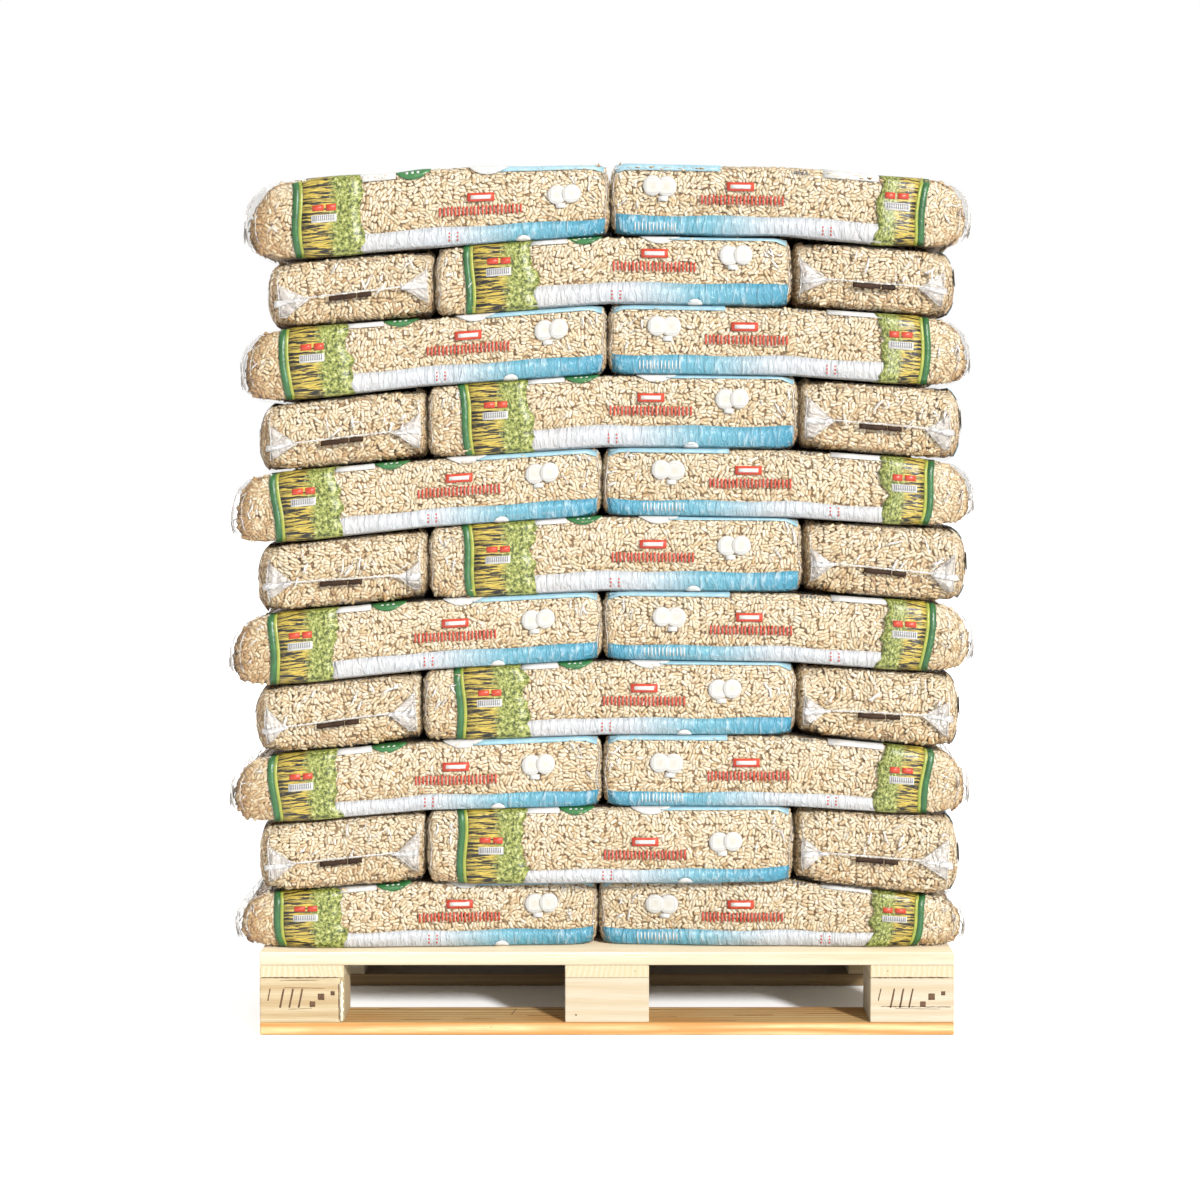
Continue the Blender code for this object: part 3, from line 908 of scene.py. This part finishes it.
def mark_pallet():
    """Saw marks, splits, small knots, a chipped edge and plain burned bars on the pallet's front."""
    burns, splits, chips = Gathered(), Gathered(), Gathered()
    rng = np.random.default_rng(77)
    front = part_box("block_front_left")[0][1]
    board_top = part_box("bottom_board_front")[1][2]

    def strip(gathered, first, last, width, rough, steps, on_board=False, depth=0.0004):
        """A strip from one point to another with two ragged edges. A long one tapers to its ends."""
        t = np.linspace(0, 1, steps + 1)
        run = np.array(last) - np.array(first)
        line = np.array(first)[:, None] * (1 - t) + np.array(last)[:, None] * t
        aside = np.array([-run[1], run[0]]) / np.hypot(*run)
        taper = np.minimum(1, 6 * np.minimum(t, 1 - t) + (0.35 if steps > 6 else 1.0))
        halves = np.stack([width / 2 * taper + rng.uniform(-rough, rough, steps + 1) for _ in range(2)])
        halves = np.array([[-1.0], [1.0]]) * np.maximum(halves, 0.0002)
        grid = line[:, None] + aside[:, None, None] * halves
        flat = np.full(grid.shape[1:], 1.0)
        if on_board:
            outer = np.stack([grid[0], grid[1], flat * (board_top + depth)], -1)
            facing = np.array([0.0, 0.0, 1.0])
        else:
            outer = np.stack([grid[0], flat * (front - depth), grid[1]], -1)
            facing = np.array([0.0, -1.0, 0.0])
        lay(gathered, outer, outer - facing * 2 * depth, np.broadcast_to(facing, outer.shape))

    for name, levels in (("block_front_left", 3), ("block_front_right", 1)):
        (left, _, _), (right, _, joint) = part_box(name)
        strip(burns, (left + 0.004, joint + 0.0006), (right - 0.010, joint + 0.0010), 0.0012, 0.0009, 30)
        # plain slanted burned bars and plain squares
        for at, foot, wide in ((0.014, 0.060, 0.0018), (0.035, 0.048, 0.0028), (0.051, 0.048, 0.0028),
                               (0.067, 0.048, 0.0028)):
            strip(burns, (left + at, foot), (left + at + 0.2 * (0.081 - foot), 0.081), wide, 0.0003, 3)
        for at, rise, size in ((0.091, 0.054, 0.0095), (0.106, 0.067, 0.0110), (0.126, 0.073, 0.0070)):
            strip(burns, (left + at - size / 2, rise), (left + at + size / 2, rise), size, 0.0003, 6)
        for level in rng.uniform(0.028, 0.096, levels):
            start = left + rng.uniform(0.004, 0.05)
            stop = (start + rng.uniform(0.04, 0.08), level + rng.uniform(-0.002, 0.002))
            strip(splits, (start, level), stop, 0.0005, 0.0002, 8)
    middle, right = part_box("block_front_middle"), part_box("block_front_right")
    strip(splits, (right[0][0] + 0.018, 0.0500), (right[1][0] - 0.006, 0.0490), 0.0009, 0.0005, 24)
    # knots
    for x, z, size in ((middle[0][0] + 0.019, 0.0353, 0.0030), (middle[1][0] - 0.024, 0.112, 0.0016),
                       (right[0][0] + 0.030, 0.112, 0.0018), (-0.20, 0.014, 0.0016), (0.11, 0.009, 0.0015)):
        strip(splits, (x - size / 2, z), (x + size / 2, z), size * 0.8, 0.0001, 2)
    # the chipped right edge of the left block, pale inside with a thin dark rim
    (_, _, low), (edge, _, high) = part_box("block_front_left")
    strip(chips, (edge - 0.0036, low + 0.002), (edge - 0.0036, high - 0.004), 0.0058, 0.0014, 18)
    strip(splits, (edge - 0.0078, low + 0.004), (edge - 0.0086, high - 0.010), 0.0007, 0.0004, 18,
          depth=0.0006)
    # a short split and a few streaks on top of the front bottom board
    strip(splits, (-0.167, front + 0.052), (-0.160, front + 0.088), 0.0010, 0.0002, 6, on_board=True)
    for _ in range(14):
        x, y = rng.uniform(-0.44, 0.40), front + rng.uniform(0.008, 0.094)
        strip(burns, (x, y), (x + rng.uniform(0.03, 0.09), y + rng.uniform(-0.003, 0.003)),
              rng.uniform(0.0005, 0.0016), 0.0003, 8, on_board=True, depth=0.0002)
    for name, gathered, material in (
            ("burned_marks", burns, plain_print("burned_wood", "6e4a28", "4c3018", 0.8)),
            ("wood_splits", splits, plain_print("split_wood", "7a5a34", "57391c", 0.85)),
            ("chipped_edge", chips, plain_print("fresh_wood", "f4ead4", "dcc79c", 0.8))):
        gathered.piece(name, [material], mapped=True)


def fill_sacks(sacks):
    """The beds and pellets of each layer, as one piece."""
    materials = [bed_material(), pellet_material()]
    for level in range(1, TOP + 1):
        filling = Gathered()
        for sack in (s for s in sacks if s.level == level):
            rng = np.random.default_rng(sack.seed)
            points, quads = sack_shell(sack, (10, 3, BED_HEIGHTS, 2), -BED_DEPTH, filling=True)
            filling.add(points, quads, 0)
            points, faces, maps, shade, normals = pellet_rods(*pellet_places(sack, rng), rng)
            filling.add(points, faces, 1, maps, shade, normals=normals)
        if level < TOP:
            # a screen in the middle of the load, so that no light comes through the seam
            x, z = rectangle((-SCREEN_REACH, SCREEN_REACH), (-SCREEN_HALF_HEIGHT, SCREEN_HALF_HEIGHT),
                             (8, 1))
            sides = [np.stack([x, x * 0 + LOAD_CENTRE_Y + away, seam_height(level, x) + z], -1)
                     for away in (-SCREEN_HALF_DEPTH, SCREEN_HALF_DEPTH)]
            filling.add(*closed_sheet(*sides), 0)
        made = filling.piece(f"pellets_{level:02d}", materials, mapped=True, shaded=True)
        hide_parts(f"sack_layer_{level:02d}")


def wrap_sacks(sacks):
    """The clear film of each layer. With the pellets it stands for the layer's CAD solid."""
    film = film_material("clear_film", 0.075, "f4e9d6", 0.12)
    for level in range(1, TOP + 1):
        shell = Gathered()
        for sack in (s for s in sacks if s.level == level):
            points, quads = sack_shell(sack, (14, 3, FILM_HEIGHTS, 3), 0.0)
            shell.add(points, quads)
        made = shell.piece(f"film_{level:02d}", [film])
        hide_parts(f"sack_layer_{level:02d}")


def strip_of(places, ups, width):
    """The grid of a narrow strip up a sack: a place at each height, and its width."""
    return np.stack([places - width / 2, places + width / 2]), np.stack([ups, ups])


def dress_end(sack, end, rng, ink):
    """The closed end of a sack: its welded fin from side to side, the film folded in at the left
    and right, and the dark mark under the fin.

    The fin is a strip whose free edge stands off by a slow wave: wide at the sides, a line in the
    middle. A fold is a triangle with its base along the sack's side and its point on the fin.
    """
    low, high = sack.low[sack.across], sack.high[sack.across]
    middle, half = (low + high) / 2, (high - low) / 2
    tilt = rng.uniform(-0.006, 0.006)
    level = (0.43 + rng.uniform(-0.03, 0.03)) * sack.height
    dome = sack.domes[end]

    def seam(across):
        return level + tilt * (across - middle) / half

    def sheet(name, across, up, lift):
        print_patch(ink[name], sack, on_end, end, across, up, lift)

    for start, stop in ((-0.037, 0.0105), (0.0120, 0.036)):
        across, down = rectangle((middle + start, middle + stop), (0.0, 1.0), (6, 1))
        deep = -0.0088 + rng.uniform(-0.0007, 0.0007, down.shape)
        up = -0.0018 + rng.uniform(-0.0004, 0.0004, down.shape) + down * deep
        sheet("eye_marks", across, up + seam(across), 0.0042)
    across, down = rectangle((middle - half * 0.62, middle + half * 0.62), (0.0, 1.0), (10, 1))
    sheet("end_fins", across, seam(across) + 0.0014 - 0.0026 * down, 0.0012)
    drop, stand = (0.030, 0.0050) if dome else (0.0115, 0.0014)
    for side, edge in ((1, low), (-1, high)):
        across, down = rectangle((0.016, half * 0.42), (0.0, 1.0), (8, 2))
        wave = np.sin(across * 110 + rng.uniform(0, 6))
        narrow = 1 - 0.55 * (across - 0.016) / (half * 0.42 - 0.016)
        across = edge + side * across
        up = seam(across) + 0.001 - (drop + 0.0012 * wave) * narrow * down
        sheet("end_fins", across, up, (0.0012 + (stand + 0.0010 * wave) * down).ravel())
        near = 0.010 if dome else (0.016, 0.024)[sack.bulged[int(edge == high)]]
        reach = rng.uniform(0.034, 0.054)
        above, below = rng.uniform(0.022, 0.040), rng.uniform(0.028, 0.048)
        top, bottom = 0.86 * sack.height, 0.12 * sack.height

        def fold_line(t, spread):
            """Places and heights on a fold, from its base at t = 0 to its point at t = 1."""
            across = edge + side * (near + reach * t)
            return across, np.clip(seam(across) + spread * (1 - t) ** 1.1 - 0.002 * t, bottom, top)

        t, v = rectangle((0.0, 1.0), (-1.0, 1.0), (5, 4))
        sheet("end_folds", *fold_line(t, v * np.where(v > 0, above, below)), 0.0007)
        # the crease where the end meets the side, and a bright one down one of the fold's edges
        ups = np.linspace(bottom, top, 9)
        bend = 0.0016 * np.sin(ups * 70 + rng.uniform(0, 6))
        sheet("end_fins", *strip_of(edge + side * (near + bend), ups, 0.0018), 0.0012)
        share, thick = (above, 0.0014) if rng.uniform() < 0.5 else (-below, 0.0022)
        across, ups = fold_line(np.linspace(0.0, 1.0, 5), share)
        sheet("end_fins", np.stack([across] * 2), np.stack([ups - thick / 2, ups + thick / 2]), 0.0013)
    # glare on the crumpled film above the fin, most of it in the half towards +X or +Y
    share = (rng.beta(2.6, 1.6, 9) * 2 - 1) * (half - 0.022)
    glints(ink["film_glints"], sack, on_end, end, rng, middle + share, (0.02, 0.42), (1.15, 0.45),
           (0.010, 0.032), (0.0022, 0.0050), level)


def dress_dome(sack, end, rng, ink):
    """The slack film round a long end that shows: two upright flaps, each a strip whose free
    edge stands off the film by a slow wave, and a greyish sheet over the upper part."""
    low, high = sack.low[sack.across], sack.high[sack.across]
    for place in (low + 0.034, high - 0.034):
        up, out = np.meshgrid(np.linspace(0.06, 0.97, 15) * sack.height, [0.0, 1.0], indexing="ij")
        wave = 0.6 + 0.4 * np.sin(up * 60 + rng.uniform(0, 6))
        across = place + 0.004 * out + 0.003 * np.sin(up * 40 + rng.uniform(0, 6))
        print_patch(ink["end_folds"], sack, on_end, end, across, up,
                    (0.0008 + 0.0014 * wave * out).ravel())
    across, up = rectangle((low + 0.006, high - 0.006), (0.42 * sack.height, sack.height + 0.030), (9, 7))
    up = up + (0.010 * np.sin(across * 40 + rng.uniform(0, 6)) * (up < 0.5 * sack.height))
    print_patch(ink["slack_film"], sack, on_end, end, across, up, 0.0005)
    glints(ink["film_glints"], sack, on_end, end, rng, rng.uniform(low + 0.02, high - 0.02, 6),
           (0.4, 0.9), (1.3, 0.5), (0.012, 0.030), (0.0018, 0.0040))


def dress_pocket(sack, side, end, rng, ink):
    """The film tucked in at a long end, as it shows on the sack's side: a small dark brown patch of painted
    shade in the hollow where no pellets lie, and a fold of film beside it."""
    distance = 0.012 + rng.uniform(-0.002, 0.003)
    height = sack.height * (rng.uniform(0.24, 0.36) if end == 0 else rng.uniform(0.5, 0.64))
    s, up = disc((0.0, 0.0), (0.0045, 0.0090), 4)
    s, up = s + 0.5 * up, up + 0.3 * s
    edge, inward = sack.edge(end)
    # a dark brown patch of painted shade in the hollow
    print_patch(ink["pocket_shade"], sack, on_side, side, edge + inward * (distance - s),
                height + up, 0.0008)
    ups = np.linspace(0.14, 0.80, 9) * sack.height
    bow = distance - 0.004 + 0.010 * ((ups - 0.45 * sack.height) / (0.4 * sack.height)) ** 2
    places = edge + inward * (bow + rng.uniform(-0.0008, 0.0008, 9))
    print_patch(ink["end_folds"], sack, on_side, side, np.stack([places, places + inward * 0.0036]),
                np.stack([ups, ups]), 0.0007)
    glints(ink["film_glints"], sack, on_side, side, rng, edge + inward * rng.uniform(0.010, 0.058, 6),
           (0.35, 0.90), (1.3, 0.6), (0.008, 0.022), (0.0016, 0.0034))


def dress_joint(sack, side, end, rng, ink):
    """The tucks of film where a sack is pressed against its neighbour: a pale fold that wanders
    down the edge with a dark strip of painted shade in the crease beside it, and glare further along."""
    edge, inward = sack.edge(end)
    ups = np.linspace(0.08, 0.92, 11) * sack.height
    wander = 0.008 + 0.0032 * np.sin(ups * 75 + rng.uniform(0, 6)) + rng.uniform(-0.0014, 0.0014, 11)
    thick = 0.0030 * rng.uniform(0.25, 1.0, 11)
    # the pale fold, then a dark strip of painted shade in the crease beside it
    for name, offset, wide in (("end_folds", 0.0, thick), ("pocket_shade", -0.0026, 0.4 * thick)):
        grid = strip_of(edge + inward * (wander + offset), ups, wide)
        print_patch(ink[name], sack, on_side, side, *grid, 0.0010)
    glints(ink["film_glints"], sack, on_side, side, rng, edge + inward * rng.uniform(0.016, 0.070, 5),
           (0.40, 0.92), (2.0 if end else 1.1, 0.5), (0.010, 0.026), (0.0016, 0.0036))


def print_side(sack, side, rng, ink):
    """The print on a long side, from places measured from the picture's end and upwards, and on
    the top above it. What lies on other print is lifted a little more than that. The inner sack of
    the top layer has only the part that runs up its side and over it."""
    tall, far, on_top = sack.height, sack.length, sack.level == TOP
    far_open = sack.faces_out(sack.along, 1 - sack.picture_end)
    print_stop = far - sack.shift - (0.046 if far_open else 0.010)
    lean, phase = rng.uniform(-0.002, 0.015), rng.uniform(0, 6)
    panel_end, bars_on, label_on, seals_on, picture_on, marks_at = sack.places

    def sway(up):
        """The print follows the film, whose upper part is drawn towards the end."""
        return lean * (0.5 - np.clip(up / tall, 0, 1)) + 0.0022 * np.sin(up * 48 + phase)

    def patch(name, s, up, lift=0.0009, uv=None):
        print_patch(ink[name], sack, on_side, side, from_picture(sack, s), up, lift, uv)

    def block(name, s_range, up_range, cells, lift=0.0009, swayed=False):
        s, up = rectangle(s_range, up_range, cells)
        patch(name, s + swayed * sway(up), up, lift)

    def row(name, count, start, pitch, width, up_range, lift, cells=(1, 1)):
        for k in range(count):
            first = start + pitch * k
            block(name, (first, first + width), up_range, cells, lift)

    # the stripes, the picture, whose far edge is ragged, and the lower band
    over = tall + (sack.width - 0.016 if on_top else PRINT_RIM)
    rows = 44 if on_top else 22
    block("green_stripes", (CLEAR_END, STRIPE_END), (PRINT_FOOT, over), (1, rows // 2), 0.0010, True)
    block("lime_stripes", (STRIPE_END, EDGE_END), (PRINT_FOOT, over), (1, rows // 2), 0.0010, True)
    s, up = rectangle((EDGE_END, panel_end), (PRINT_FOOT, over), (5, rows))
    line = np.stack([up[-1], up[-1] * 0, up[-1] * 0 + sack.seed], -1)
    ragged = 0.010 * noise(line, 0.026, 7) + 0.005 * noise(line, 0.009, 8)
    s = s + sway(up) + np.outer(np.linspace(0, 1, 6) ** 3, ragged)
    from_stripe = np.broadcast_to(np.linspace(0, 1, 6)[:, None], up.shape)
    patch("picture_panels", s, up, 0.0016, np.stack([from_stripe, (up - PRINT_FOOT) / 0.155], -1))
    s, up = rectangle((panel_end - 0.010, print_stop), (PRINT_FOOT, sack.band_top), (26, 3))
    share = (up - PRINT_FOOT) / (sack.band_top - PRINT_FOOT)
    lifted = 0.0 if far_open else 0.0015 * smooth(far - 0.05, far - 0.012, s)
    patch("edge_bands", s, up + share * (lifted + 0.0012 * np.sin(s * 37 + phase)))

    # what shows of the print on top, above the film's upper edge
    rim, shown = tall + PRINT_RIM, 0.007 if on_top else 0.0
    block("white_patches", (panel_end - 0.007, 0.246), (tall - 0.008 - shown, rim), (3, 3), 0.0010)
    foot = tall - 0.002 - shown
    if sack.number == 1:
        row("label_bars", 4, 0.272, 0.0068, 0.0030, (foot - 0.004, foot + 0.001), 0.0014)
    else:
        patch("green_patches", *disc((0.275, tall + 0.012 - shown), (0.031, 0.024), 5), 0.0012)
        patch("white_patches", *disc((0.403, tall + 0.012 - shown / 2), (0.035, 0.024), 4), 0.0014)
        row("white_patches", 3, 0.2625, 0.0095, 0.0045, (foot, foot + 0.005), 0.0018)
    lower = 0.005 if sack.number == 4 else 0.008
    block("upper_bands", (0.42, print_stop), (tall - lower - shown / 2, rim), (10, 3))
    if on_top:
        # a plain pale panel, a green ellipse, a sky-blue border, a row of plain bars and a disc
        block("white_patches", (0.215, 0.385), (rim + 0.014, rim + 0.080), (9, 4), 0.0010)
        patch("green_patches", *disc((0.300, rim + 0.047), (0.060, 0.022), 8), 0.0016)
        block("upper_bands", (0.215, print_stop), (rim + 0.185, rim + 0.225), (14, 3))
        row("red_blocks", 16, 0.230, 0.0205, 0.0130, (rim + 0.105, rim + 0.150), 0.0012, (1, 3))
        patch("white_patches", *disc((0.470, rim + 0.045), (0.028, 0.028), 8), 0.0012)
    if not sack.faces_out(sack.across, side):
        return

    # plain red bars in a row, a plain red label above them and pale seals further along
    rise = sack.rise
    for k in range(22):
        start = bars_on + 0.313 + 0.00655 * k + rng.uniform(0, 0.0008)
        s, up = rectangle((start, start + 0.0031), (rise + 0.045, rise + 0.061), (1, 1))
        patch("red_blocks", s, up + rng.uniform(-0.0014, 0.0014, up.shape), 0.0012)
    start = label_on + 0.364
    block("red_blocks", (start, start + 0.046), (rise + 0.068, rise + 0.083), (4, 1), 0.0012)
    block("white_patches", (start + 0.006, start + 0.040), (rise + 0.0722, rise + 0.0788), (3, 1), 0.0016)
    start = seals_on + 0.506
    patch("pale_seals", *disc((start, rise + 0.074), (0.0170, 0.0175), 5), 0.0012)
    patch("pale_seals", *disc((start + 0.024, rise + 0.075), (0.0165, 0.0170), 5), 0.0016)
    block("white_patches", (start - 0.002, start + 0.014), (rise + 0.050, rise + 0.058), (1, 1), 0.0012)

    # two plain red bars over a pale label with even bars, on the picture
    rise = sack.rise / 2
    start = picture_on + 0.112
    block("red_blocks", (start, start + 0.019), (rise + 0.075, rise + 0.085), (2, 1), 0.0022)
    block("red_blocks", (start + 0.023, start + 0.040), (rise + 0.074, rise + 0.085), (2, 1), 0.0022)
    block("white_patches", (start - 0.002, start + 0.041), (rise + 0.055, rise + 0.068), (4, 1), 0.0022)
    row("label_bars", 12, picture_on + 0.1125, 0.0032, 0.0014, (rise + 0.058, rise + 0.067), 0.0028)

    # small red marks on the band, then pale ticks or the top of a pale badge
    for foot in (0.008, 0.014, 0.020):
        row("red_blocks", 2, marks_at, 0.014, 0.0026, (foot, foot + 0.0030), 0.0013)
    if sack.number == 1:
        row("white_patches", 12, 0.497, 0.0062, 0.0018, (0.010, 0.024), 0.0013)
    else:
        patch("white_patches", *disc((0.463, 0.001), (0.013, 0.010), 3), 0.0013)
    for end in (0, 1):
        if sack.domes[end]:
            dress_pocket(sack, side, end, rng, ink)
        elif sack.along == 0:
            dress_joint(sack, side, end, rng, ink)


def print_sacks(sacks):
    """The print on every long side and the marks and film on every end that shows."""
    looks = {
        "edge_bands": band_material(),
        "picture_panels": picture_material(),
        "green_stripes": plain_print("green_ink", "35733a", "215428"),
        "lime_stripes": plain_print("lime_ink", "b2b448", "8c9c38"),
        "red_blocks": plain_print("red_ink", "dd4c2c", "c83e28"),
        "white_patches": plain_print("white_ink", "ebe9e5", "d9d7d1"),
        "label_bars": plain_print("black_ink", "6d6c72", "88888e"),
        "eye_marks": plain_print("brown_ink", "46301f", "2a1a10", 0.6, 0.15),
        "green_patches": plain_print("dark_green_ink", "2f7238", "3f8246"),
        "upper_bands": plain_print("sky_ink", "97c6d6", "b9d8e2"),
        "pale_seals": seal_material(),
        "end_fins": film_material("welded_film", 0.62, "f4f0ec", 0.20),
        "film_glints": film_material("bright_film", 0.62, "fffcf8", 0.20),
        "end_folds": film_material("folded_film", 0.60, "e4dace", 0.22),
        "pocket_shade": film_material("painted_pocket_shade", 0.80, "7c5530", 0.25),
        "slack_film": film_material("slack_film", 0.14, "cfcac2", 0.22),
    }
    ink = {name: Gathered() for name in looks}
    for sack in sacks:
        rng = np.random.default_rng(500 + sack.seed)
        for side in (0, 1):
            if sack.faces_out(sack.across, side) or (sack.number == 5 and side == 0):
                print_side(sack, side, rng, ink)
        for end in (0, 1):
            if sack.faces_out(sack.along, end):
                dress_end(sack, end, rng, ink)
            if sack.domes[end]:
                dress_dome(sack, end, rng, ink)
    for name, material in looks.items():
        ink[name].piece(name, [material], mapped=True)


def stage():
    """A pale floor, soft light and the camera of the photograph."""
    mesh = bpy.data.meshes.new("floor")
    reach = 30.0
    mesh.from_pydata([(-reach, -reach, -0.001), (reach, -reach, -0.001), (reach, reach, -0.001),
                      (-reach, reach, -0.001)], [], [(0, 1, 2, 3)])
    floor = placed("floor", mesh)
    paint = Paint("pale_floor", Roughness=0.9, Base_Color=(0.97, 0.97, 0.97, 1.0))
    mesh.materials.append(paint.material)

    world = bpy.data.worlds.new("studio")
    bpy.context.scene.world = world
    world.use_nodes = True
    sky = world.node_tree.nodes["Background"].inputs
    sky["Color"].default_value = (1.0, 1.0, 1.0, 1.0)
    sky["Strength"].default_value = 1.0

    rear = bpy.data.lights.new("rear", "AREA")
    rear.shape, rear.size, rear.energy = "DISK", 2.5, 300
    placed("rear", rear, (-3.5, 4.5, 3.5), (3.5, -4.5, -2.7))
    key = bpy.data.lights.new("key", "SUN")
    key.energy, key.angle = 6.5, math.radians(7.0)
    placed("key", key, towards=(-0.62, 1.0, -0.50))

    lens = bpy.data.cameras.new("camera")
    lens.sensor_width = FRAME_WIDTH
    lens.lens = FRAME_WIDTH * FOCAL_PIXELS / PHOTO_PIXELS
    lens.shift_y = FRAME_SHIFT
    camera = placed("camera", lens, CAMERA_PLACE)
    camera.rotation_euler = (math.radians(90 - LOOK_DOWN), 0, 0)
    bpy.context.scene.camera = camera
    bpy.context.scene.view_settings.view_transform = "Standard"


dress_pallet()
mark_pallet()
load = load_plan()
fill_sacks(load)
wrap_sacks(load)
print_sacks(load)
stage()
